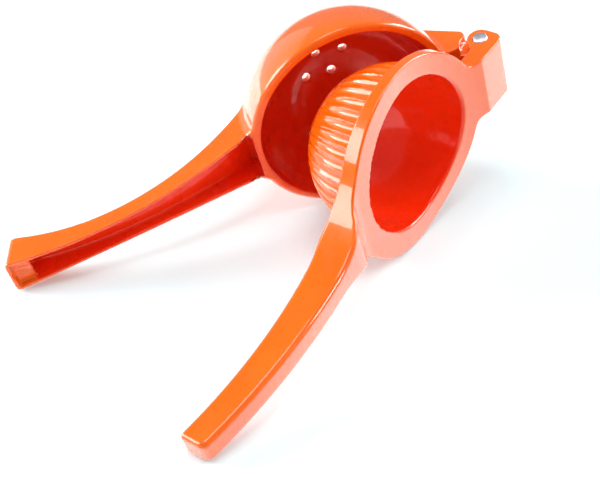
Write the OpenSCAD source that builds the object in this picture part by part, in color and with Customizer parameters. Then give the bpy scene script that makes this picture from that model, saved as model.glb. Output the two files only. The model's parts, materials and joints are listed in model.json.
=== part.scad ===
// Hinged citrus squeezer: two cast aluminium arms that turn on one steel pin.
// Each arm is drawn closed, with the pin axis along Y through the origin, +X towards the
// hinge end and +Z towards the side that the press arm comes from. The arms are then
// opened, and the whole tool is stood on its side on the Z = 0 plane, as it is set down.

/* [Pose] */
// Opening of the press arm from closed, in the resting pose (degrees)
rest_opening = 32.5; // [20:0.5:60]

/* [Cup] */
// Inner radius of the cup's ball shape
cup_inner_r = 38.6; // [34:0.1:44]
// Wall of the cup
cup_wall = 3.6; // [2.5:0.1:5]
// Pin axis to cup axis
cup_reach = 55.8; // [50:0.1:64]
// Rim of the cup below the pin axis
rim_drop = 2.6; // [2:0.1:4]
// Centre of the cup's ball shape below the rim
cup_set_down = 2.9; // [1:0.1:6]
// Radius of the rim's outer edge
rim_round = 1.6; // [0.5:0.1:2]
// Diameter of a drain hole
drain_d = 4; // [2:0.1:6]
// Centre distance of the drain holes
drain_pitch = 11.4; // [8:0.1:12]
// Middle of the drain holes from the cup axis, towards the hinge
drain_x = 0; // [-6:0.1:6]
// Middle of the drain holes from the cup axis, towards the side it stands on
drain_y = -2.7; // [-6:0.1:6]
// Turn of the hole pattern (degrees)
drain_turn = -7; // [-30:1:30]

/* [Cup handle] */
// Pin axis to the free end of the cup handle
cup_arm_length = 203; // [180:1:240]
// Half width at the narrowest place
handle_half_w = 5.9; // [5:0.1:9]
// Narrowest place, measured back from the free end
handle_waist_back = 37; // [20:1:60]
// Radius of the side edges in plan
handle_side_r = 380; // [300:5:600]
// Lip height above the pin axis at its highest place
lip_crest = 5.6; // [4:0.1:9]
// Highest place of the lips, measured back from the free end
lip_crest_back = 27; // [15:1:60]
// Radius of the lips' long curve
lip_r = 320; // [250:5:500]
// Depth of the handle below the pin axis at its thinnest place
back_crest = 2.3; // [1:0.1:5]
// Thinnest place, measured back from the free end
back_crest_back = 43; // [30:1:80]
// Radius of the back between the thinnest place and the cup
back_root_r = 128; // [80:1:160]
// Radius of the back between the thinnest place and the free end
back_tip_r = 100; // [80:1:300]
// Side wall of the channel
channel_wall = 1.5; // [1:0.1:2.5]
// Floor of the channel
channel_floor = 2.5; // [1.5:0.1:4]
// Length of the solid block in the free end
end_block = 9.5; // [5:0.5:20]
// Depth of the block's top below the lips
end_block_drop = 2.4; // [0.5:0.1:3]
// Diameter of the shallow dimple in the end block
dimple_d = 4.4; // [2:0.1:6]
// Depth of the dimple
dimple_depth = 0.5; // [0.2:0.1:1]
// Radius of the handle ends' rounded back corners
end_round = 3; // [1:0.5:4]
// Slope of the cup handle's end face, inwards towards its back (degrees)
end_slant = 20; // [0:1:25]

/* [Press head] */
// How much nearer the pin the press axis is than the cup's axis
press_nearer = 0.8; // [0:0.1:3]
// How much smaller the press ring is than the cup's outside, on the radius
ring_inset = 1.8; // [0:0.1:4]
// Gap between the ring and the rim when the tool is closed
closed_gap = 0.35; // [0.3:0.05:1]
// Height of the ring's back face above the pin axis, at the press axis
ring_back = 1.95; // [1:0.05:5]
// Slope of the ring's back face towards the handle (degrees)
ring_slope = 4.6; // [0:0.1:8]
// Radius of the sweep from the ring's back face up to the hinge block
sweep_r = 107; // [95:1:200]
// Space for the fruit between dome and cup, on the radius
dome_gap = 4.6; // [2:0.1:8]
// How much higher the dome's centre is than the cup's
dome_rise = 0.5; // [0:0.05:2]
// Wall of the dome
dome_wall = 3.2; // [2:0.1:5]
// Width of the ring's back face round the hollow
ring_land = 8.6; // [5:0.1:14]
// Number of flutes round the dome
flute_count = 45; // [24:1:72]
// Depth of a flute where it is deepest
flute_depth = 1.5; // [0.4:0.1:1.8]
// Lean of a flute from the dome's axis (degrees)
flute_lean = 8; // [4:0.5:12]

/* [Press handle] */
// Pin axis to the free end of the press handle
press_arm_length = 198; // [176:1:236]
// Half width of the press handle
bar_half_w = 4.85; // [4:0.05:6]
// Radius of the fillets between the ring and the press handle, in plan
bar_fillet_r = 40; // [25:1:60]
// Back of the handle above the pin axis at its highest place
bar_back_crest = 18.15; // [14:0.05:24]
// Highest place of the back, measured back from the free end
bar_back_crest_back = 38; // [20:1:60]
// Radius of the back's long curve
bar_back_r = 285; // [200:5:400]
// Front of the handle above the pin axis at its highest place
bar_front_crest = 6.2; // [5:0.05:9]
// Highest place of the front, measured back from the free end
bar_front_crest_back = 28; // [15:1:50]
// Radius of the front's long curve
bar_front_r = 230; // [180:5:400]
// Where the back starts to rise from the ring, measured in from the ring's outer edge
bar_foot = 5; // [2:0.5:10]
// Radius of the hollow at the start of the rise
foot_r = 12; // [8:0.5:16]
// Radius of the rounded crest at the end of the rise
crest_r = 20; // [14:1:26]

/* [Hinge] */
// Radius of the hinge pin
pin_r = 3; // [2:0.05:3.5]
// Height of the pin's domed ends
pin_dome = 0.8; // [0.3:0.1:1.5]
// Radial clearance of the pin in the tongue
pin_clearance = 0.05; // [0.02:0.01:0.1]
// Width over the two ears
ears_w = 27.5; // [22:0.5:34]
// Width of the tongue between the ears
tongue_w = 13.6; // [8:0.1:18]
// Side clearance between the tongue and each ear
tongue_gap = 0.35; // [0.2:0.05:0.8]
// Radius of the ears about the pin
ear_r = 5.3; // [4.6:0.1:7]
// Radius of the tongue's end about the pin
tongue_r = 4.9; // [4.4:0.1:6]
// Top of the hinge block above the pin axis
block_top = 7.6; // [6.5:0.1:10]
// Radius of the hinge block's outer corner
block_corner_r = 4; // [1:0.1:5]
// Width of the cup arm's hinge bracket
bracket_w = 22; // [16:0.5:30]
// Space round the ears in the bracket's pocket, on the radius
pocket_gap = 3.3; // [3.1:0.1:6]

/* [Hidden] */
$fn = 120;
eps = 0.01;

cup_outer_r = cup_inner_r + cup_wall;
cup_z = -rim_drop - cup_set_down;
rim_z = -rim_drop;
ring_front = rim_z + closed_gap;
press_reach = cup_reach - press_nearer;
ring_r = cup_outer_r - ring_inset;
dome_r = cup_inner_r - dome_gap;
dome_drop = -cup_z - dome_rise;
hollow_mouth_r = ring_r - ring_land;
pocket_r = ear_r + pocket_gap;
block_floor = -0.2;
bracket_end = 3;
bracket_slope = 39.6;
bracket_foot = 11.7;
tongue_shoulder = 0.8;
hollow_lead = 6;
big = 400;

// Height, at x, of a disc whose highest point is at (crest_x, crest_z)
function arch_z(x, crest_x, crest_z, r) = crest_z - r + sqrt(r * r - pow(x - crest_x, 2));
// Points of an arc from angle a0 to a1, ends included
function arc(c, r, a0, a1, n = 10) =
    [for (i = [0:n]) c + r * [cos(a0 + (a1 - a0) * i / n), sin(a0 + (a1 - a0) * i / n)]];
function angle_of(v) = atan2(v[1], v[0]);
// How far from p, along the unit direction d, the circle of radius r about c is first met
function met(p, d, c, r) = let (q = p - c, b = q * d) -b - sqrt(b * b - q * q + r * r);
function unit(v) = v / norm(v);
// Where the circles about a and b cross, on the left of the way from a to b
function crossing(a, ra, b, rb) = let (g = b - a, n = norm(g), t = (n * n + ra * ra - rb * rb) / (2 * n))
    a + t * g / n + sqrt(ra * ra - t * t) * [-g[1], g[0]] / n;
// Where a tangent from point p touches a circle of radius r about the pin, side = 1 or -1
function tangent_at(p, r, side) =
    let (a = atan2(p[1], p[0]) + side * acos(r / norm(p))) r * [cos(a), sin(a)];

// Cup handle: where its curves crest, and its heights and half width
cup_tip = -cup_arm_length;
lip_x = cup_tip + lip_crest_back;
back_x = cup_tip + back_crest_back;
waist_x = cup_tip + handle_waist_back;
cup_root = -cup_reach - 0.75 * cup_outer_r;
function lip_z(x) = arch_z(x, lip_x, lip_crest, lip_r);
function handle_w(x) = handle_half_w + handle_side_r - sqrt(pow(handle_side_r, 2) - pow(x - waist_x, 2));
tip_dir = [sin(end_slant), -cos(end_slant)];
tip_in = [cos(end_slant), sin(end_slant)];
tip_lip = [cup_tip, lip_z(cup_tip)];
back_centre = [back_x, -back_crest - back_tip_r];
tip_round_start = tip_lip + end_round * tip_in;
tip_round_c = tip_round_start
    + met(tip_round_start, tip_dir, back_centre, back_tip_r + end_round) * tip_dir;

// Press arm: where its curves crest, and the centres of its rounded places
press_tip = -press_arm_length;
bar_back_x = press_tip + bar_back_crest_back;
bar_front_x = press_tip + bar_front_crest_back;
function bar_back_z(x) = arch_z(x, bar_back_x, bar_back_crest, bar_back_r);
function bar_front_z(x) = arch_z(x, bar_front_x, bar_front_crest, bar_front_r);
slope_dir = [cos(ring_slope), -sin(ring_slope)];
slope_up = [sin(ring_slope), cos(ring_slope)];
ring_mid = [-press_reach, ring_back];
sweep_c = ring_mid + sweep_r * slope_up;
foot_c = ring_mid - (ring_r - bar_foot) * slope_dir + foot_r * slope_up;
bar_back_c = [bar_back_x, bar_back_crest - bar_back_r];
crest_c = crossing(bar_back_c, bar_back_r - crest_r, foot_c, foot_r + crest_r);

// Turns what is drawn in (x, z) into a plate of width w centred on the pin's middle plane
module plate(w) {
    translate([0, w / 2, 0]) rotate([90, 0, 0]) linear_extrude(w) children();
}

// Disc in (x, z) whose highest point is at (x, z)
module arch(x, z, r) {
    translate([x, z - r]) circle(r, $fn = 720);
}

// Part of what is drawn in two dimensions that lies between x0 and x1
module between(x0, x1) {
    intersection() {
        children();
        translate([x0, -big]) square([x1 - x0, 2 * big]);
    }
}

module ball(reach, z, r) {
    translate([-reach, 0, z]) sphere(r);
}

module pin_bore(r) {
    rotate([90, 0, 0]) cylinder(h = 2 * ears_w, r = r, center = true);
}

// Outer shape of the cup up to its rim, with the rim's rounded outer edge
module cup_outside() {
    shoulder = rim_z - rim_round;
    rim_edge = sqrt(pow(cup_outer_r, 2) - pow(shoulder - cup_z, 2)) - rim_round;
    intersection() {
        ball(cup_reach, cup_z, cup_outer_r);
        translate([-cup_reach, 0, cup_z - cup_outer_r])
            cylinder(h = cup_outer_r + shoulder - cup_z, r = cup_outer_r);
    }
    translate([-cup_reach, 0, shoulder]) {
        rotate_extrude() translate([rim_edge, 0]) circle(rim_round, $fn = 48);
        translate([0, 0, -rim_round]) cylinder(h = 2 * rim_round, r = rim_edge);
    }
}

// The cup handle seen from above, drawn in by the given amount all round its sides
module handle_plan(inset, x0, x1) {
    translate([0, 0, -cup_outer_r]) linear_extrude(2 * cup_outer_r) difference() {
        translate([x0, -cup_outer_r]) square([x1 - x0, 2 * cup_outer_r]);
        for (side = [-1, 1])
            translate([waist_x, side * (handle_half_w + handle_side_r)])
                circle(handle_side_r + inset, $fn = 720);
    }
}

// What lies under the handle's back, or that much above its back
module below_back(extra) {
    between(back_x - eps, big) translate([back_x, -back_crest - back_root_r])
        circle(back_root_r + extra, $fn = 720);
    between(-big, back_x) translate(back_centre) circle(back_tip_r + extra, $fn = 720);
}

// Handle body: its side outline, with the rounded corner at the end, and its plan together
module cup_handle() {
    corner = arc(tip_round_c, end_round, 180 + end_slant, 360 + angle_of(back_centre - tip_round_c));
    intersection() {
        plate(4 * cup_outer_r) difference() {
            intersection() {
                polygon(concat([tip_lip - 10 * tip_dir], corner, [[corner[len(corner) - 1][0], -cup_outer_r],
                    [cup_root, -cup_outer_r], [cup_root, cup_outer_r]]));
                arch(lip_x, lip_crest, lip_r);
            }
            below_back(0);
        }
        handle_plan(0, cup_tip - 1, cup_root);
    }
}

// Channel along the handle, from the end block to a straight wall just outside the cup
module channel() {
    intersection() {
        plate(4 * cup_outer_r) difference() {
            translate([cup_tip, -cup_outer_r]) square([cup_arm_length, 2 * cup_outer_r]);
            below_back(channel_floor);
        }
        handle_plan(channel_wall, cup_tip + end_block, -cup_reach - cup_outer_r + 1);
    }
}

// Shallow pocket over the end block, with a round dimple in its floor
module end_pocket() {
    middle = cup_tip + (channel_wall + end_block) / 2;
    intersection() {
        plate(4 * cup_outer_r) difference() {
            translate([cup_tip, 0]) square([2 * end_block, cup_outer_r]);
            arch(lip_x, lip_crest - end_block_drop, lip_r - end_block_drop);
        }
        handle_plan(channel_wall, cup_tip + channel_wall, cup_tip + end_block + eps);
    }
    translate([middle, 0, lip_z(middle) - end_block_drop - dimple_depth]) cylinder(h = 3, r = dimple_d / 2);
}

// Bracket between the cup and the hinge, with the tongue that reaches the pin
module bracket() {
    foot = [-bracket_end - 0.5, -bracket_foot];
    inside = [-cup_reach + cup_outer_r - 12, 0];
    difference() {
        plate(bracket_w) polygon([
            [inside[0], rim_z], [-pocket_r + 1, rim_z], [-bracket_end, rim_z - 2],
            [-bracket_end, foot[1] + 1], foot,
            [inside[0], foot[1] - tan(bracket_slope) * (foot[0] - inside[0])]]);
        for (side = [-1, 1])
            translate([0, side * tongue_w / 2, 0]) rotate([side * -90, 0, 0])
                cylinder(h = ears_w, r = pocket_r);
    }
    plate(tongue_w) {
        circle(tongue_r);
        polygon([[0, 0], [-tongue_r, -tongue_shoulder], [-pocket_r, rim_z], [inside[0], rim_z],
            [inside[0], foot[1]], foot, [-bracket_end, foot[1] + 1],
            tangent_at([-bracket_end, foot[1] + 1], tongue_r, 1)]);
    }
}

// One drain hole with six round it
module drain_holes() {
    translate([-cup_reach + drain_x, -drain_y, cup_z - cup_outer_r - 1]) rotate(drain_turn) {
        cylinder(h = cup_outer_r, r = drain_d / 2);
        for (i = [0:5])
            rotate(60 * i) translate([drain_pitch, 0, 0]) cylinder(h = cup_outer_r, r = drain_d / 2);
    }
}

module cup_arm_closed() {
    difference() {
        union() {
            cup_outside();
            cup_handle();
            bracket();
        }
        ball(cup_reach, cup_z, cup_inner_r);
        translate([-cup_reach, 0, cup_z])
            cylinder(h = 2 * cup_set_down, r = sqrt(pow(cup_inner_r, 2) - pow(cup_set_down, 2)));
        channel();
        end_pocket();
        drain_holes();
        pin_bore(pin_r + pin_clearance);
    }
}

// The press arm seen from above: ring, handle, the fillets between them, and the ears
module press_plan() {
    reach = bar_half_w + bar_fillet_r;
    fillet_x = -press_reach - sqrt(pow(ring_r + bar_fillet_r, 2) - pow(reach, 2));
    touch = ring_r / (ring_r + bar_fillet_r) * [fillet_x + press_reach, reach] + [-press_reach, 0];
    translate([0, 0, -ear_r]) linear_extrude(bar_back_crest + 2 * ear_r) {
        translate([-press_reach, 0]) circle(ring_r, $fn = 240);
        difference() {
            polygon([[press_tip, bar_half_w], [fillet_x, bar_half_w], touch, [-press_reach, 0],
                [touch[0], -touch[1]], [fillet_x, -bar_half_w], [press_tip, -bar_half_w]]);
            for (side = [-1, 1])
                translate([fillet_x, side * reach]) circle(bar_fillet_r, $fn = 240);
        }
        difference() {
            polygon([[fillet_x, bar_half_w], touch, [touch[0], -touch[1]], [fillet_x, -bar_half_w]]);
            for (side = [-1, 1])
                translate([fillet_x, side * reach]) circle(bar_fillet_r, $fn = 240);
        }
        translate([-press_reach, -ears_w / 2]) square([press_reach + ear_r, ears_w]);
    }
}

// The press arm seen from the side
module press_side() {
    ring_x = -press_reach + ring_r;
    root = [-ear_r - 1.6, block_floor];
    corner = [ear_r - block_corner_r, block_top - block_corner_r];
    foot_touch = foot_c - foot_r * slope_up;
    to_crest = angle_of(crest_c - foot_c);
    rise = concat(
        arc(foot_c, foot_r, angle_of(-slope_up), to_crest),
        arc(crest_c, crest_r, to_crest + 180, angle_of(crest_c - bar_back_c)));
    crest_touch = crest_c + crest_r * unit(crest_c - bar_back_c);
    tip_c = [press_tip + end_round,
        bar_back_c[1] + sqrt(pow(bar_back_r - end_round, 2) - pow(press_tip + end_round - bar_back_x, 2))];
    tip_up = unit(tip_c - bar_back_c);
    // Ring, with the sweep up to the hinge block
    difference() {
        polygon([foot_touch, [foot_touch[0], ring_front], [ring_x, ring_front], [ring_x, block_floor],
            root, [corner[0], block_floor], [corner[0], block_top], [ring_mid[0], block_top], ring_mid]);
        translate(sweep_c) circle(sweep_r, $fn = 720);
    }
    // Handle
    difference() {
        intersection() {
            polygon(concat([[press_tip, ring_front], [foot_touch[0], ring_front]], rise,
                [[crest_touch[0], big], tip_c + 2 * end_round * tip_up],
                arc(tip_c, end_round, angle_of(tip_up), 180)));
            translate(bar_back_c) circle(bar_back_r, $fn = 720);
        }
        arch(bar_front_x, bar_front_crest, bar_front_r);
    }
    // Ears and the hinge block's rounded corner
    polygon([root, tangent_at(root, ear_r, 1), [0, 0], [ear_r, 0], [ear_r, corner[1]], corner,
        [corner[0], block_top], root + [0, 2]]);
    translate(corner) circle(block_corner_r);
    circle(ear_r);
}

// Slot between the ears, open downwards and towards the hinge end
module tongue_slot() {
    w = tongue_w + 2 * tongue_gap;
    r = tongue_r + tongue_gap;
    plate(w) {
        circle(r);
        translate([-r, -2 * ear_r]) square([4 * r, 2 * ear_r]);
        translate([-2 * r, -2 * ear_r]) square([5 * r, 2 * ear_r + block_floor]);
        square([4 * r, r]);
    }
}

// Dome below the ring, with flutes that run out on the way to its crown
module dome() {
    difference() {
        intersection() {
            ball(press_reach, -dome_drop, dome_r);
            translate([-press_reach, 0, -dome_drop - 2 * dome_r])
                cylinder(h = 2 * dome_r + dome_drop + ring_front + 1, r = 2 * dome_r);
        }
        flutes();
    }
}

// Each flute is the straight track of a round tool, deepest a little below the dome's widest place.
// The tools are a little wider than their spacing, which leaves a sharp ridge between two flutes.
module flutes() {
    tool_r = dome_r * sin(180 / flute_count) * 1.06;
    for (i = [0:flute_count - 1])
        translate([-press_reach, 0, -dome_drop]) rotate([0, 0, 360 / flute_count * (i + 0.5)])
            rotate([0, flute_lean, 0]) translate([dome_r + tool_r - flute_depth, 0, -dome_r])
                cylinder(h = dome_r + dome_drop + ring_front + dome_r * sin(flute_lean) + 2, r = tool_r);
}

// Hollow behind the dome, opening in a slight cone through the ring's back face
module hollow() {
    inner_r = dome_r - dome_wall;
    depth = dome_drop + ring_back + hollow_lead;
    over = bar_back_crest - ring_back;
    flare = (hollow_mouth_r - inner_r + 1) / depth;
    ball(press_reach, -dome_drop, inner_r);
    translate([-press_reach, 0, -dome_drop - hollow_lead])
        cylinder(h = depth + over, r1 = inner_r - 1, r2 = hollow_mouth_r + flare * over);
}

module press_arm_closed() {
    difference() {
        union() {
            intersection() {
                press_plan();
                plate(4 * ring_r) press_side();
            }
            dome();
        }
        hollow();
        tongue_slot();
        pin_bore(pin_r);
    }
}

// Straight pin with a shallow dome on each end
module pin_closed() {
    cap_r = (pin_r * pin_r + pin_dome * pin_dome) / (2 * pin_dome);
    rotate([90, 0, 0]) {
        cylinder(h = ears_w, r = pin_r, center = true);
        for (side = [0, 1]) mirror([0, 0, side]) intersection() {
            translate([0, 0, ears_w / 2 + pin_dome - cap_r]) sphere(cap_r);
            cylinder(h = ears_w, r = pin_r);
        }
    }
}

// The tool stands on the cup and on the lower corner of each handle's free end.
// up is the direction, in the cup arm's frame, that points away from that plane.
function opened(p) = let (a = rest_opening)
    [p[0] * cos(a) + p[2] * sin(a), p[1], -p[0] * sin(a) + p[2] * cos(a)];
cup_centre = [-cup_reach, 0, cup_z];
cup_corner = [cup_tip, -handle_w(cup_tip), lip_z(cup_tip)];
press_corner = opened([press_tip, -bar_half_w, bar_front_z(press_tip)]);
a = cup_corner - cup_centre;
b = press_corner - cup_centre;
det = (a * a) * (b * b) - pow(a * b, 2);
flat_part = -cup_outer_r * ((b * b - a * b) * a + (a * a - a * b) * b) / det;
up = flat_part - sqrt(1 - flat_part * flat_part) * unit(cross(a, b)) * sign(cross(a, b)[1]) * -1;
along = unit([1, 0, 0] - up[0] * up);
across = cross(up, along);
floor_h = up * cup_centre - cup_outer_r;

// Box of the standing tool, from the points that reach furthest
tip_top = [cup_tip, handle_w(cup_tip), lip_z(cup_tip)];
tip_low = [tip_round_c[0], handle_w(tip_round_c[0]), tip_round_c[1]];
corner_c = opened([ear_r - block_corner_r, -ears_w / 2, block_top - block_corner_r]);
bar_c = opened([press_tip + end_round, bar_half_w, bar_back_z(press_tip + end_round) - end_round]);
flat_reach = function (v) norm([v[0], v[2]]);
x_min = min(along * tip_top, along * tip_low - end_round * flat_reach(along));
x_max = along * corner_c + block_corner_r * flat_reach(along);
y_min = across * bar_c - end_round * flat_reach(across);
y_max = across * cup_centre + cup_outer_r;

module standing() {
    multmatrix([
        [along[0], along[1], along[2], -(x_min + x_max) / 2],
        [across[0], across[1], across[2], -(y_min + y_max) / 2],
        [up[0], up[1], up[2], -floor_h],
        [0, 0, 0, 1]]) children();
}

module cup_arm() {
    color("orangered") standing() cup_arm_closed();
}

module press_arm() {
    color("orangered") standing() rotate([0, rest_opening, 0]) press_arm_closed();
}

module hinge_pin() {
    color("silver") standing() rotate([0, rest_opening, 0]) pin_closed();
}

cup_arm();
press_arm();
hinge_pin();
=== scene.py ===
import json
import math

import bmesh
import bpy
import numpy as np
from mathutils import Matrix, Vector


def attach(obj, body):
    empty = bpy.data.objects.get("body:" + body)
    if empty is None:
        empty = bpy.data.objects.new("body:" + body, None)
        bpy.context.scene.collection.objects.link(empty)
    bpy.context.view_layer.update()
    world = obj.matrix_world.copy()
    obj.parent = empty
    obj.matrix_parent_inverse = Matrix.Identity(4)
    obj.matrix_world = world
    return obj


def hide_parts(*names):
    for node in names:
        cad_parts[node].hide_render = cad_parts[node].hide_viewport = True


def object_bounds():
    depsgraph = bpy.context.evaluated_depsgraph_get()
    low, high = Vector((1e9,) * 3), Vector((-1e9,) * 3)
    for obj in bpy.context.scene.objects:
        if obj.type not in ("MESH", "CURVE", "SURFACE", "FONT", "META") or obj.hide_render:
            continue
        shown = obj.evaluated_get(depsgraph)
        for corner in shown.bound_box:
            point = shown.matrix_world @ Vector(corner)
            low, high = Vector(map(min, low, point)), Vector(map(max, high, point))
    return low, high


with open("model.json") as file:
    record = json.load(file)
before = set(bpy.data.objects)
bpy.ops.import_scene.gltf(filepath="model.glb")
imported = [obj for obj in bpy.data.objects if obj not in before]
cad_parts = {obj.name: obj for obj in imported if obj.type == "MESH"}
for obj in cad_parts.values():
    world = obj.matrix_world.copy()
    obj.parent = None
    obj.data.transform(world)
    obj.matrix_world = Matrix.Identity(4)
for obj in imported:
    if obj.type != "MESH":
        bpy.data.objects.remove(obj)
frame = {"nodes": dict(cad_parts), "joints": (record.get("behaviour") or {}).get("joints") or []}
cad_box = [list(corner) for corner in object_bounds()]

# ---------------------------------------------------------------- the arms' own frame
# Shapes are written in millimetres with the pin's middle at 0, Y along the pin, X towards
# the hinge end and Z towards the cup's open side. The press arm is written closed.

HINGE = frame["joints"][0]
PIN_MIDDLE = np.array(HINGE["pos_m"])
ALONG_PIN = np.array(HINGE["axis"]) / np.linalg.norm(HINGE["axis"])
ALONG_ARM = np.cross((0.0, 1.0, 0.0), ALONG_PIN)
ALONG_ARM /= np.linalg.norm(ALONG_ARM)
CUP_FRAME = np.array([ALONG_ARM, ALONG_PIN, np.cross(ALONG_ARM, ALONG_PIN)])
REST_OPENING = math.radians(-HINGE["range_deg"][0])
OPEN_TURN = np.array([
    [math.cos(REST_OPENING), 0.0, -math.sin(REST_OPENING)],
    [0.0, 1.0, 0.0],
    [math.sin(REST_OPENING), 0.0, math.cos(REST_OPENING)],
])
PRESS_FRAME = OPEN_TURN @ CUP_FRAME


def to_arm(points, axes):
    """World points in metres, as points in an arm's own frame in millimetres."""
    return (points - PIN_MIDDLE) @ axes.T * 1000.0


def from_arm(points, axes):
    return points @ axes / 1000.0 + PIN_MIDDLE


# ---------------------------------------------------------------- measures in millimetres
CUP_X, CUP_Z, CUP_INNER, CUP_OUTER, RIM_Z = -55.8, -5.5, 38.6, 42.2, -2.6
CUP_TIP, LIP_X, LIP_CREST, LIP_R = -203.0, -176.0, 5.6, 320.0
WAIST_X, WAIST_W, SIDE_R = -166.0, 5.9, 380.0
BACK_X, BACK_Z, BACK_ROOT_R, BACK_TIP_R = -160.0, -2.3, 128.0, 100.0
END_SLANT = math.radians(20.0)
HANDLE_IN_CUP_X, HANDLE_END_ROUND, HANDLE_FILLET = -84.0, 3.0, 2.8
CHANNEL_WALL, CHANNEL_FLOOR, CHANNEL_ROOT_X, END_BLOCK, BLOCK_DROP = 1.5, 2.5, -97.0, 9.5, 2.4
DIMPLE_Z, DIMPLE_BALL_R = 6.8, 5.1
BRACKET_W, BRACKET_END, BRACKET_FOOT, BRACKET_SLOPE = 11.0, -3.0, (-3.5, -11.7), math.radians(39.6)
BRACKET_ROOT_X, BRACKET_FILLET = -30.0, 2.6
TONGUE_W, TONGUE_R, TONGUE_ROOT_X, POCKET_R = 6.8, 4.9, -26.0, 8.6
PIN_R, PIN_CLEARANCE = 3.0, 0.05
DRAIN_R, DRAIN_PITCH, DRAIN_MIDDLE, DRAIN_TURN = 1.85, 11.4, (0.0, 2.7), math.radians(-7.0)

PRESS_X, RING_R, RING_FRONT, RING_BACK = -55.0, 40.4, -2.25, 1.95
RING_SLOPE, SWEEP_R = math.radians(4.6), 107.0
DOME_R, DOME_Z, HOLLOW_R, MOUTH_R, MOUTH_SHIFT, MOUTH_ROUND = 34.0, -5.0, 30.4, 30.6, 1.3, 1.3
FLUTES, FLUTE_DEPTH, FLUTE_END = 45, 1.25, math.radians(52.0)
BAR_TIP, BAR_W, BAR_FILLET = -198.0, 4.85, 40.0
BAR_BACK_X, BAR_BACK_Z, BAR_BACK_R = -160.0, 18.15, 285.0
BAR_FRONT_X, BAR_FRONT_Z, BAR_FRONT_R = -170.0, 6.2, 230.0
FOOT_IN, FOOT_R, CREST_R = 5.0, 12.0, 20.0
EARS_W, EAR_R, SLOT_W, SLOT_R = 13.75, 5.3, 7.15, 5.25
BLOCK_TOP, BLOCK_CORNER, BLOCK_FLOOR, BLOCK_ROOT, BLOCK_FILLET = 7.6, 4.0, -0.2, -6.9, 2.2


# ---------------------------------------------------------------- how forms are joined
# A form is the distance to its surface, below zero inside it.

def both(a, b, r):
    """What lies in both forms, with the edge between them rounded to radius r."""
    return np.minimum(np.maximum(a, b), -r) + np.hypot(np.maximum(r + a, 0.0), np.maximum(r + b, 0.0))


def either(a, b, r):
    """What lies in either form, with a fillet of radius r between them."""
    return np.maximum(np.minimum(a, b), r) - np.hypot(np.maximum(r - a, 0.0), np.maximum(r - b, 0.0))


def without(a, b, r):
    """The first form with the second cut from it, the cut's edge rounded to radius r."""
    return both(a, -b, r)


def soft_least(a, b, width):
    """The smaller of two distances, blended where they differ by less than width."""
    h = np.maximum(width - np.abs(a - b), 0.0) / width
    return np.minimum(a, b) - h * h * width / 4.0


def soft_most(a, b, width):
    return -soft_least(-a, -b, width)


def ramp(t):
    """0 below 0 and 1 above 1, with a smooth rise between them."""
    t = np.clip(t, 0.0, 1.0)
    return t * t * (3.0 - 2.0 * t)


def outline(x, z, corners):
    """Distance to a closed outline drawn in the arm's side view."""
    near = np.full(x.shape, 1e9)
    sign = np.ones(x.shape)
    for (ax, az), (bx, bz) in zip(corners, corners[-1:] + corners[:-1]):
        ex, ez, wx, wz = bx - ax, bz - az, x - ax, z - az
        t = np.clip((wx * ex + wz * ez) / (ex * ex + ez * ez), 0.0, 1.0)
        near = np.minimum(near, (wx - ex * t) ** 2 + (wz - ez * t) ** 2)
        above, below, left = z >= az, z < bz, ex * wz > ez * wx
        sign = np.where((above & below & left) | ~(above | below | left), -sign, sign)
    return sign * np.sqrt(near)


# ---------------------------------------------------------------- cup arm

def drain_places():
    """Where the drain holes are: one, with six round it."""
    middle = np.array([CUP_X + DRAIN_MIDDLE[0], DRAIN_MIDDLE[1]])
    ring = [DRAIN_TURN + math.radians(60.0) * i for i in range(6)]
    return [middle] + [middle + DRAIN_PITCH * np.array([math.cos(a), math.sin(a)]) for a in ring]


def cup_arm_sides(x, wide, z):
    """The handle's back and its sides, below zero inside the handle."""
    to_root = np.hypot(x - BACK_X, z - BACK_Z + BACK_ROOT_R)
    to_tip = np.hypot(x - BACK_X, z - BACK_Z + BACK_TIP_R)
    back = np.where(x > BACK_X, BACK_ROOT_R - to_root, BACK_TIP_R - to_tip)
    return back, SIDE_R - np.hypot(x - WAIST_X, wide - WAIST_W - SIDE_R)


def cup_arm_channel(x, wide, z):
    """The channel along the handle's front."""
    back, side = cup_arm_sides(x, wide, z)
    length = np.maximum(CUP_TIP + END_BLOCK - x, x - CHANNEL_ROOT_X)
    return both(both(back + CHANNEL_FLOOR, side + CHANNEL_WALL, 1.3), length, 1.0)


def cup_arm_hollows(p):
    """The inside of the cup and the channel."""
    x, y, z = p.T
    from_cup = np.sqrt((x - CUP_X) ** 2 + y * y + (z - CUP_Z) ** 2)
    return np.minimum(from_cup - CUP_INNER, cup_arm_channel(x, np.abs(y), z))


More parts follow.
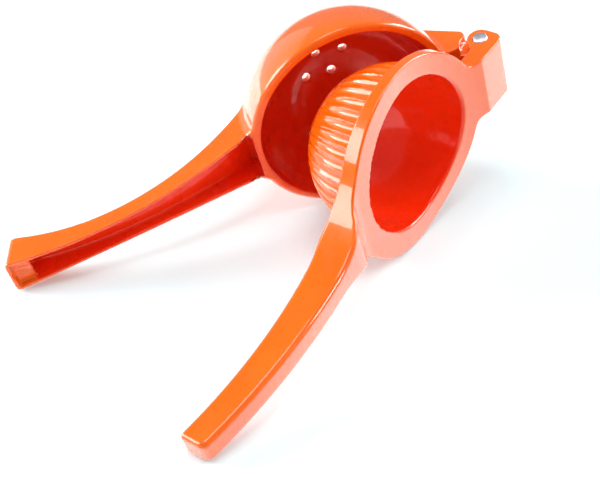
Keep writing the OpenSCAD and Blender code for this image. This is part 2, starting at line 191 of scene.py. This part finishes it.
def cup_arm_form(p):
    """The whole casting with the cup."""
    x, y, z = p.T
    wide = np.abs(y)
    from_cup = np.sqrt((x - CUP_X) ** 2 + y * y + (z - CUP_Z) ** 2)
    from_lip = np.hypot(x - LIP_X, z - LIP_CREST + LIP_R)
    back, side = cup_arm_sides(x, wide, z)
    tip_z = LIP_CREST - LIP_R + math.sqrt(LIP_R ** 2 - (CUP_TIP - LIP_X) ** 2)
    end = -(x - CUP_TIP) * math.cos(END_SLANT) - (z - tip_z) * math.sin(END_SLANT)

    # Outside: handle, cup and hinge bracket, open upwards until the top is cut
    handle = both(both(back, np.maximum(end, x - HANDLE_IN_CUP_X), HANDLE_END_ROUND), side, 0.9)
    handle = np.maximum(handle, both(end, side, 2.2))
    form = either(from_cup - CUP_OUTER, handle, HANDLE_FILLET)
    slope = ((x - BRACKET_FOOT[0]) * math.sin(BRACKET_SLOPE)
             - (z - BRACKET_FOOT[1]) * math.cos(BRACKET_SLOPE))
    shoulder = (x + 7.6) * 0.399 + (z - RIM_Z) * 0.917
    bracket = both(both(both(slope, x - BRACKET_END, 0.8), shoulder, 0.6), wide - BRACKET_W, 0.9)
    bracket = np.maximum(bracket, BRACKET_ROOT_X - x)
    form = either(form, bracket, BRACKET_FILLET)
    top = soft_least(z - RIM_Z, from_lip - LIP_R, 1.0)
    top_edge = 0.55 + 1.05 * ramp((x + 104.0) / 8.0) - 0.9 * ramp((x + 30.0) / 8.0)
    form = both(form, top, top_edge)

    # Hinge: the pocket that each ear turns in, and the tongue between them
    from_pin = np.hypot(x, z)
    pocket = np.maximum(from_pin - POCKET_R, TONGUE_W - wide)
    form = without(form, pocket, 0.7)
    reach = [(0.0, 0.0), (-TONGUE_R, -0.8), (-POCKET_R, RIM_Z), (TONGUE_ROOT_X, RIM_Z),
             (TONGUE_ROOT_X, BRACKET_FOOT[1]), BRACKET_FOOT, (BRACKET_END, BRACKET_FOOT[1] + 1.0),
             (3.65, -3.27)]
    tongue = both(np.minimum(from_pin - TONGUE_R, outline(x, z, reach)), wide - TONGUE_W, 0.4)
    form = either(form, np.maximum(tongue, x - 6.0), 0.5)

    # Inside of the cup, channel of the handle, block and dimple at its free end
    form = without(form, from_cup - CUP_INNER, 0.6)
    channel = cup_arm_channel(x, wide, z)
    inner_side = side + CHANNEL_WALL
    step = np.maximum(end + CHANNEL_WALL, x - CUP_TIP - END_BLOCK - 1.0)
    block_top = both(both(LIP_R - BLOCK_DROP - from_lip, inner_side, 0.4), step, 0.4)
    form = without(form, np.minimum(channel, block_top), 0.5)
    dimple_x = CUP_TIP + 0.5 * (CHANNEL_WALL + END_BLOCK)
    dimple = np.sqrt((x - dimple_x) ** 2 + y * y + (z - DIMPLE_Z) ** 2) - DIMPLE_BALL_R
    form = without(form, dimple, 0.2)

    # Drain holes and the pin's hole
    hole = np.full(x.shape, 1e9)
    for hx, hy in drain_places():
        hole = np.minimum(hole, np.hypot(x - hx, y - hy) - DRAIN_R)
    form = without(form, np.maximum(hole, z + 25.0), 0.45)
    return without(form, from_pin - PIN_R - PIN_CLEARANCE, 0.3)


# ---------------------------------------------------------------- press arm

SLOPE_DIR = np.array([math.cos(RING_SLOPE), -math.sin(RING_SLOPE)])
SLOPE_UP = np.array([math.sin(RING_SLOPE), math.cos(RING_SLOPE)])
RING_MIDDLE = np.array([PRESS_X, RING_BACK])
SWEEP_MIDDLE = RING_MIDDLE + SWEEP_R * SLOPE_UP
FOOT_MIDDLE = RING_MIDDLE - (RING_R - FOOT_IN) * SLOPE_DIR + FOOT_R * SLOPE_UP
BAR_MIDDLE = np.array([BAR_BACK_X, BAR_BACK_Z - BAR_BACK_R])


def crossing(a, ra, b, rb):
    """Where two circles cross, on the left of the way from a to b."""
    gap = b - a
    n = np.linalg.norm(gap)
    t = (n * n + ra * ra - rb * rb) / (2.0 * n)
    return a + t * gap / n + math.sqrt(ra * ra - t * t) * np.array([-gap[1], gap[0]]) / n


CREST_MIDDLE = crossing(BAR_MIDDLE, BAR_BACK_R - CREST_R, FOOT_MIDDLE, FOOT_R + CREST_R)


def left_of(x, z, start, end):
    """Above zero on the left of the way from start to end."""
    return (end[0] - start[0]) * (z - start[1]) - (end[1] - start[1]) * (x - start[0])


def press_back(x, z):
    """The press arm's back in side view: handle, rounded crest, hollow foot, ring, sweep."""
    on_ring = (x - PRESS_X) * SLOPE_UP[0] + (z - RING_BACK) * SLOPE_UP[1]
    on_sweep = SWEEP_R - np.hypot(x - SWEEP_MIDDLE[0], z - SWEEP_MIDDLE[1])
    on_foot = FOOT_R - np.hypot(x - FOOT_MIDDLE[0], z - FOOT_MIDDLE[1])
    on_crest = np.hypot(x - CREST_MIDDLE[0], z - CREST_MIDDLE[1]) - CREST_R
    on_bar = np.hypot(x - BAR_MIDDLE[0], z - BAR_MIDDLE[1]) - BAR_BACK_R
    back = np.where(left_of(x, z, RING_MIDDLE, SWEEP_MIDDLE) > 0, on_ring, on_sweep)
    back = np.where(left_of(x, z, FOOT_MIDDLE - SLOPE_UP, FOOT_MIDDLE) > 0, on_foot, back)
    back = np.where(left_of(x, z, CREST_MIDDLE, FOOT_MIDDLE) > 0, on_crest, back)
    return np.where(left_of(x, z, BAR_MIDDLE, CREST_MIDDLE) > 0, on_bar, back)


def press_arm_hollow(p):
    """The hollow behind the dome: a ball that eases into a straight mouth, a little off centre."""
    x, y, z = p.T
    rise = ramp((z + 18.0) / 20.0)
    below = soft_least(z - DOME_Z, 0.0 * z, 10.0)
    from_middle = np.sqrt((x - PRESS_X - MOUTH_SHIFT * rise) ** 2 + y * y + below ** 2)
    return from_middle - HOLLOW_R - (MOUTH_R - HOLLOW_R) * rise


def press_arm_form(p):
    """The whole casting with the dome."""
    x, y, z = p.T
    wide = np.abs(y)
    around = np.hypot(x - PRESS_X, y)
    from_pin = np.hypot(x, z)

    # Plan: ring, handle with its long fillets, and the hinge block
    reach = BAR_W + BAR_FILLET
    fillet_x = PRESS_X - math.sqrt((RING_R + BAR_FILLET) ** 2 - reach ** 2)
    touch_x = PRESS_X + (fillet_x - PRESS_X) * RING_R / (RING_R + BAR_FILLET)
    flared = BAR_FILLET - np.hypot(x - fillet_x, wide - reach)
    bar = np.maximum(np.where(x > fillet_x, flared, wide - BAR_W), x - touch_x)
    front = soft_most(RING_FRONT - z,
                      BAR_FRONT_R - np.hypot(x - BAR_FRONT_X, z - BAR_FRONT_Z + BAR_FRONT_R), 0.8)
    front_edge = 0.7 + 0.9 * ramp((-92.0 - x) / 16.0)
    form = both(np.minimum(around - RING_R, bar), front, front_edge)
    block = [(-40.0, BLOCK_FLOOR), (BLOCK_ROOT, BLOCK_FLOOR), (-3.97, -3.51), (0.0, 0.0),
             (EAR_R, 0.0), (EAR_R, 20.0), (-40.0, 20.0)]
    ears = np.minimum(from_pin - EAR_R, outline(x, z, block))
    form = either(form, both(ears, wide - EARS_W, 0.8), BLOCK_FILLET)

    # Dome with its flutes: each is a hollow between two sharp ridges, and fades downwards
    down = z - DOME_Z
    from_dome = np.sqrt(around ** 2 + down ** 2)
    across = 2.0 * (np.arctan2(y, x - PRESS_X) * FLUTES / math.tau % 1.0) - 1.0
    below = np.arcsin(np.clip(-down / from_dome, -1.0, 1.0))
    fade = 1.0 - (1.0 - np.cos(below)) / (1.0 - math.cos(FLUTE_END))
    groove = FLUTE_DEPTH * (fade - across ** 2)
    groove = soft_most(groove, 0.0 * groove, 0.15)
    dome = np.maximum((from_dome - DOME_R + groove) * 0.8, z - RING_FRONT - 1.0)
    form = either(form, dome, 0.6)

    # Back: sharper round the ring than along the handle
    back = np.maximum(press_back(x, z), np.where(x > PRESS_X, z - BLOCK_TOP, -20.0))
    back = both(back, x - EAR_R, BLOCK_CORNER)
    back = both(back, BAR_TIP - x, 3.0)
    back_edge = 0.8 + 1.2 * ramp((-88.0 - x) / 22.0)
    form = both(form, back, back_edge)

    # Hollow behind the dome, the slot between the ears and the pin's hole
    form = without(form, press_arm_hollow(p), MOUTH_ROUND)
    slot = np.minimum(np.minimum(from_pin - SLOT_R, np.maximum(np.abs(x) - 12.0, z - BLOCK_FLOOR)),
                      np.minimum(np.maximum(-SLOT_R - x, z), np.maximum(-x, z - SLOT_R)))
    slot = np.maximum(slot, wide - SLOT_W)
    form = without(form, np.maximum(slot, -12.0 - x), 0.5)
    return without(form, from_pin - PIN_R, 0.25)


# ---------------------------------------------------------------- from CAD node to casting

def slope_of(form, p):
    """Direction in which a form's distance grows."""
    h = 0.02
    grad = np.empty_like(p)
    for i in range(3):
        step = np.zeros(3)
        step[i] = h
        grad[:, i] = form(p + step) - form(p - step)
    return grad / (2.0 * h)


def settle(form, p, rounds):
    """Moves points onto a form's surface."""
    for _ in range(rounds):
        grad = slope_of(form, p)
        size = np.maximum((grad ** 2).sum(1), 0.2)
        p = p - np.clip(form(p) / size, -0.4, 0.4)[:, None] * grad
    return p


def casting(node, name, form, hollows, axes, grid):
    """A casting with rounded edges: the node's own solid, remeshed finely, drawn onto its form."""
    bm = bmesh.new()
    bm.from_mesh(frame["nodes"][node].data)
    bmesh.ops.remove_doubles(bm, verts=bm.verts, dist=1e-6)
    rough = bpy.data.meshes.new(name + "_rough")
    bm.to_mesh(rough)
    bm.free()
    piece = bpy.data.objects.new(name, rough)
    bpy.context.scene.collection.objects.link(piece)
    remesh = piece.modifiers.new("skin", "REMESH")
    remesh.mode = "VOXEL"
    remesh.voxel_size = grid
    bpy.context.view_layer.update()
    skin = bpy.data.meshes.new_from_object(piece.evaluated_get(bpy.context.evaluated_depsgraph_get()))
    piece.modifiers.clear()
    piece.data = skin
    bpy.data.meshes.remove(rough)

    count = len(skin.vertices)
    co = np.empty(count * 3)
    skin.vertices.foreach_get("co", co)
    p = to_arm(co.reshape(-1, 3), axes)
    ends = np.empty(len(skin.edges) * 2, np.int32)
    skin.edges.foreach_get("vertices", ends)
    ends = ends.reshape(-1, 2)
    degree = np.bincount(ends.ravel(), minlength=count)[:, None]
    p = settle(form, p, 3)
    for _ in range(5):
        around = np.empty_like(p)
        for i in range(3):
            around[:, i] = (np.bincount(ends[:, 0], p[ends[:, 1], i], count)
                            + np.bincount(ends[:, 1], p[ends[:, 0], i], count))
        shift = around / degree - p
        normal = slope_of(form, p)
        normal /= np.maximum(np.linalg.norm(normal, axis=1), 1e-6)[:, None]
        shift -= (shift * normal).sum(1)[:, None] * normal
        p = settle(form, p + 0.6 * shift, 1)
    p = settle(form, p, 2)
    normal = slope_of(form, p)
    normal /= np.maximum(np.linalg.norm(normal, axis=1), 1e-6)[:, None]
    skin.vertices.foreach_set("co", np.clip(from_arm(p, axes), *cad_box).ravel())
    skin.update()
    skin.shade_smooth()
    skin.normals_split_custom_set_from_vertices((normal @ axes).tolist())
    # Painted shade mask: 1 on the hollows (the cup's bore, the channel, the press arm's hollow), fading
    # to 0 about a millimetre out; the finish paints these darker and redder
    hollow_shade_mask = skin.attributes.new("hollow_shade_mask", "FLOAT", "POINT")
    hollow_shade_mask.data.foreach_set("value", (1.0 - ramp((hollows(p) - 0.2) / 0.9)).astype(np.float32))
    print(name, "vertices", count, "off by", float(np.abs(form(p)).max()))
    return piece


cup_arm = casting("cup_arm", "cup_casting", cup_arm_form, cup_arm_hollows, CUP_FRAME, 0.0007)
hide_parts("cup_arm")
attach(cup_arm, "cup_side")

press_arm = casting("press_arm", "press_casting", press_arm_form, press_arm_hollow, PRESS_FRAME,
                    0.00065)
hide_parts("press_arm")
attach(press_arm, "press_side")


# ---------------------------------------------------------------- hinge pin

def peened_pin():
    """The pin: a rod whose ends are hammered into low crowns with rounded rims."""
    crown = ((0.0, 0.62), (1.1, 0.58), (2.1, 0.44), (2.75, 0.20), (3.0, -0.25), (3.0, -1.2))
    bm = bmesh.new()
    line = [bm.verts.new((r, EARS_W + h, 0.0)) for r, h in crown]
    line += [bm.verts.new((r, -EARS_W - h, 0.0)) for r, h in reversed(crown)]
    edges = [bm.edges.new(pair) for pair in zip(line, line[1:])]
    bmesh.ops.spin(bm, geom=line + edges, cent=(0.0, 0.0, 0.0), axis=(0.0, 1.0, 0.0),
                   angle=math.tau, steps=48, use_merge=True)
    bmesh.ops.remove_doubles(bm, verts=bm.verts, dist=1e-4)
    bmesh.ops.recalc_face_normals(bm, faces=bm.faces)
    turn = Matrix([list(row) + [0.0] for row in CUP_FRAME.T] + [[0.0, 0.0, 0.0, 1.0]])
    bmesh.ops.transform(bm, verts=bm.verts,
                        matrix=Matrix.Translation(Vector(PIN_MIDDLE)) @ turn @ Matrix.Scale(0.001, 4))
    mesh = bpy.data.meshes.new("pin_rod")
    bm.to_mesh(mesh)
    bm.free()
    mesh.shade_smooth()
    piece = bpy.data.objects.new("pin_rod", mesh)
    bpy.context.scene.collection.objects.link(piece)
    smooth = piece.modifiers.new("crown", "SUBSURF")
    smooth.levels = smooth.render_levels = 2
    return piece


hinge_pin = peened_pin()
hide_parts("hinge_pin")
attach(hinge_pin, "press_side")


# ---------------------------------------------------------------- finishes

def colour(code):
    """An sRGB hex code as linear colour."""
    parts = [int(code[i:i + 2], 16) / 255.0 for i in (1, 3, 5)]
    return [c / 12.92 if c <= 0.04045 else ((c + 0.055) / 1.055) ** 2.4 for c in parts] + [1.0]


def add_node(tree, kind, settings=None, links=None):
    node = tree.nodes.new(kind)
    for key, value in (settings or {}).items():
        if key in node.inputs:
            node.inputs[key].default_value = value
        else:
            setattr(node, key, value)
    for key, source in (links or {}).items():
        tree.links.new(source, node.inputs[key])
    return node


def new_material(name):
    material = bpy.data.materials.new(name)
    material.use_nodes = True
    material.node_tree.nodes.clear()
    return material, material.node_tree


def mix_colour(tree, amount, first, second):
    """A blend of two colours, each a hex code or another node's colour."""
    node = add_node(tree, "ShaderNodeMix", {"data_type": "RGBA"})
    tree.links.new(amount, node.inputs[0])
    for socket, value in ((node.inputs[6], first), (node.inputs[7], second)):
        if isinstance(value, str):
            socket.default_value = colour(value)
        else:
            tree.links.new(value, socket)
    return node.outputs[2]


def map_range(tree, value, low, high, to_low, to_high):
    return add_node(tree, "ShaderNodeMapRange",
                    {"From Min": low, "From Max": high, "To Min": to_low, "To Max": to_high},
                    {"Value": value}).outputs["Result"]


def noise(tree, place, millimetres, detail=2.0):
    """Soft noise whose lumps are about so many millimetres across."""
    return add_node(tree, "ShaderNodeTexNoise", {"Scale": 1000.0 / millimetres, "Detail": detail},
                    {"Vector": place}).outputs["Fac"]


def orange_enamel():
    """Orange enamel sprayed and baked on cast aluminium: a hard clear gloss over an opaque
    colour. In the hollows the colour is painted deeper and redder, a painted shade for the dim,
    red-bounced light there, and the casting's skin shows under it as a faint unevenness where light
    glances off."""
    material, tree = new_material("baked_orange_enamel")
    place = add_node(tree, "ShaderNodeTexCoord").outputs["Object"]
    hollow_shade_mask = add_node(tree, "ShaderNodeAttribute", {"attribute_name": "hollow_shade_mask"}).outputs["Fac"]

    # Colour: slow drifts of the spray, thin dust-fine flecks, and painted shade in the hollows
    drift = map_range(tree, noise(tree, place, 38.0, 3.0), 0.35, 0.65, 0.0, 1.0)
    outside = mix_colour(tree, drift, "#F8690B", "#F3600A")
    # Painted shade: a darker, redder colour for the hollows, blended in by the painted shade mask
    inside = mix_colour(tree, drift, "#F93B08", "#F33107")
    tone = mix_colour(tree, hollow_shade_mask, outside, inside)
    fleck = map_range(tree, noise(tree, place, 0.9, 1.0), 0.70, 0.76, 0.0, 0.35)
    tone = mix_colour(tree, fleck, tone, "#D8430A")

    # Gloss: rubbed a little duller in patches, all over the casting
    rubbed = map_range(tree, noise(tree, place, 7.0, 4.0), 0.45, 0.70, 0.24, 0.36)

    # Surface: the casting's slow waves and the spray's fine orange peel
    waves = add_node(tree, "ShaderNodeBump", {"Strength": 1.0, "Distance": 0.00002},
                     {"Height": noise(tree, place, 11.0)}).outputs["Normal"]
    peel = add_node(tree, "ShaderNodeBump", {"Strength": 1.0, "Distance": 0.000003},
                    {"Height": noise(tree, place, 1.6), "Normal": waves}).outputs["Normal"]

    # The clear top of the enamel is strongest where it is looked along
    glance = add_node(tree, "ShaderNodeLayerWeight", {"Blend": 0.5}).outputs["Facing"]
    clear = map_range(tree, glance, 0.28, 0.56, 0.13, 1.0)
    coat = add_node(tree, "ShaderNodeBsdfPrincipled",
                    {"IOR": 1.5, "Specular IOR Level": 0.15, "Coat IOR": 2.8, "Coat Roughness": 0.05},
                    {"Base Color": tone, "Roughness": rubbed, "Normal": peel, "Coat Normal": peel,
                     "Coat Weight": clear})
    add_node(tree, "ShaderNodeOutputMaterial", links={"Surface": coat.outputs["BSDF"]})
    return material


def pin_steel():
    """Bare steel with peened ends: grey, slightly blue, with a fine hammered and rubbed skin."""
    material, tree = new_material("peened_steel")
    place = add_node(tree, "ShaderNodeTexCoord").outputs["Object"]
    stain = map_range(tree, noise(tree, place, 1.8, 3.0), 0.40, 0.65, 0.0, 1.0)
    tone = mix_colour(tree, stain, "#E2DFE8", "#C8C7D2")
    rubbed = map_range(tree, noise(tree, place, 0.5, 3.0), 0.35, 0.65, 0.36, 0.52)
    hammered = add_node(tree, "ShaderNodeBump", {"Strength": 1.0, "Distance": 0.00003},
                        {"Height": noise(tree, place, 1.1)}).outputs["Normal"]
    metal = add_node(tree, "ShaderNodeBsdfPrincipled", {"Metallic": 1.0},
                     {"Base Color": tone, "Roughness": rubbed, "Normal": hammered})
    add_node(tree, "ShaderNodeOutputMaterial", links={"Surface": metal.outputs["BSDF"]})
    return material


enamel = orange_enamel()
steel = pin_steel()
for piece in (cup_arm, press_arm):
    piece.data.materials.clear()
    piece.data.materials.append(enamel)
hinge_pin.data.materials.append(steel)

# ---------------------------------------------------------------- floor, light and camera
# White paper. What the camera sees of it has a share of plain white that grows to full white
# away from the tool, and its own colour is cool to even out the orange that the tool throws on
# it. Gloss mirrors the lit paper with a little plain white.
WHITE = colour("#FFFFFF")
SEEN_WHITE_NEAR, SEEN_WHITE_FAR, MIRRORED_WHITE = 0.18, 1.0, 0.15
NEAR, FAR = 0.4, 0.9
COOL_PAPER = (0.64, 0.80, 0.83, 1.0)

scene = bpy.context.scene
bm = bmesh.new()
bmesh.ops.create_grid(bm, x_segments=1, y_segments=1, size=2.2)
floor_mesh = bpy.data.meshes.new("floor")
bm.to_mesh(floor_mesh)
bm.free()
floor = bpy.data.objects.new("floor", floor_mesh)
scene.collection.objects.link(floor)


def shaders_added(tree, first, second):
    both_shaders = add_node(tree, "ShaderNodeAddShader")
    tree.links.new(first.outputs[0], both_shaders.inputs[0])
    tree.links.new(second.outputs[0], both_shaders.inputs[1])
    return both_shaders.outputs["Shader"]


def either_ray(tree, is_ray, other, special):
    """One shader for the rays asked about, and another for the rest."""
    mixed = add_node(tree, "ShaderNodeMixShader", links={"Fac": is_ray})
    tree.links.new(other, mixed.inputs[1])
    tree.links.new(special, mixed.inputs[2])
    return mixed.outputs["Shader"]


material, tree = new_material("white_paper")
ray = add_node(tree, "ShaderNodeLightPath").outputs
spot = add_node(tree, "ShaderNodeTexCoord").outputs["Object"]
away = add_node(tree, "ShaderNodeVectorMath", {"operation": "LENGTH"}, {"Vector": spot}).outputs["Value"]
paper = add_node(tree, "ShaderNodeBsdfDiffuse", {"Color": colour("#F2F2F2")})
mirrored = shaders_added(
    tree, add_node(tree, "ShaderNodeBsdfDiffuse", {"Color": WHITE}),
    add_node(tree, "ShaderNodeEmission", {"Color": WHITE, "Strength": MIRRORED_WHITE}))
seen = shaders_added(
    tree, add_node(tree, "ShaderNodeBsdfDiffuse", {"Color": COOL_PAPER}),
    add_node(tree, "ShaderNodeEmission", {"Color": WHITE},
             {"Strength": map_range(tree, away, NEAR, FAR, SEEN_WHITE_NEAR, SEEN_WHITE_FAR)}))
surface = either_ray(tree, ray["Is Glossy Ray"], paper.outputs["BSDF"], mirrored)
surface = either_ray(tree, ray["Is Camera Ray"], surface, seen)
add_node(tree, "ShaderNodeOutputMaterial", links={"Surface": surface})
floor_mesh.materials.append(material)


def softbox(name, place, width, height, power, lights, mirrored):
    """A white panel turned towards the tool: it can light surfaces, be mirrored in gloss, or both."""
    light = bpy.data.lights.new(name, "AREA")
    light.shape = "RECTANGLE"
    light.size, light.size_y, light.energy = width, height, power
    lamp = bpy.data.objects.new(name, light)
    lamp.location = place
    lamp.rotation_euler = (Vector((0.0, 0.0, 0.03)) - Vector(place)).to_track_quat("-Z", "Y").to_euler()
    lamp.visible_diffuse, lamp.visible_glossy = lights, mirrored
    scene.collection.objects.link(lamp)


# Lights, and panels that only show in the gloss: name, place, width, height, power, lights, mirrored
softbox("left_light", (-0.80, 0.50, 0.45), 0.6, 0.6, 12.5, True, False)
softbox("right_light", (0.92, -0.06, 0.62), 0.5, 0.5, 7.0, True, False)
softbox("top_light", (-0.10, -0.05, 1.20), 0.6, 0.6, 6.5, True, True)
softbox("left_panel", (-0.95, 0.30, 0.50), 0.95, 0.60, 22.0, False, True)
softbox("left_wall", (-0.90, 0.78, 0.46), 2.20, 0.95, 2.4, False, True)
softbox("right_panel", (0.93, -0.16, 0.56), 0.80, 0.36, 18.0, False, True)

# The room: white behind the tool, and dimmer as it lights the tool or shows in its gloss
world = bpy.data.worlds.new("studio")
scene.world = world
world.use_nodes = True
tree = world.node_tree
tree.nodes.clear()
ray = add_node(tree, "ShaderNodeLightPath").outputs
lighting, in_gloss, behind = [
    add_node(tree, "ShaderNodeBackground", {"Color": WHITE, "Strength": strength}).outputs["Background"]
    for strength in (0.4, 0.25, 1.0)]
shader = either_ray(tree, ray["Is Glossy Ray"], lighting, in_gloss)
shader = either_ray(tree, ray["Is Camera Ray"], shader, behind)
add_node(tree, "ShaderNodeOutputWorld", links={"Surface": shader})

# The camera's place and directions
CAMERA_AT = Vector(PIN_MIDDLE) + Vector((-0.2052818, -0.4245742, 0.2702098))
CAMERA_RIGHT = Vector((0.947493, -0.316231, -0.047485))
CAMERA_LOOK = Vector((0.225266, 0.765456, -0.602771))
FOCAL_PIXELS, IMAGE_WIDTH = 1348.5, 600.0
camera_data = bpy.data.cameras.new("camera")
camera_data.sensor_fit = "HORIZONTAL"
camera_data.sensor_width = 36.0
camera_data.lens = FOCAL_PIXELS * camera_data.sensor_width / IMAGE_WIDTH
camera = bpy.data.objects.new("camera", camera_data)
look = CAMERA_LOOK.normalized()
right = (CAMERA_RIGHT - CAMERA_RIGHT.dot(look) * look).normalized()
axes = Matrix((right, right.cross(look), -look)).transposed().to_4x4()
camera.matrix_world = Matrix.Translation(CAMERA_AT) @ axes
scene.collection.objects.link(camera)
scene.camera = camera

scene.view_settings.view_transform = "Standard"
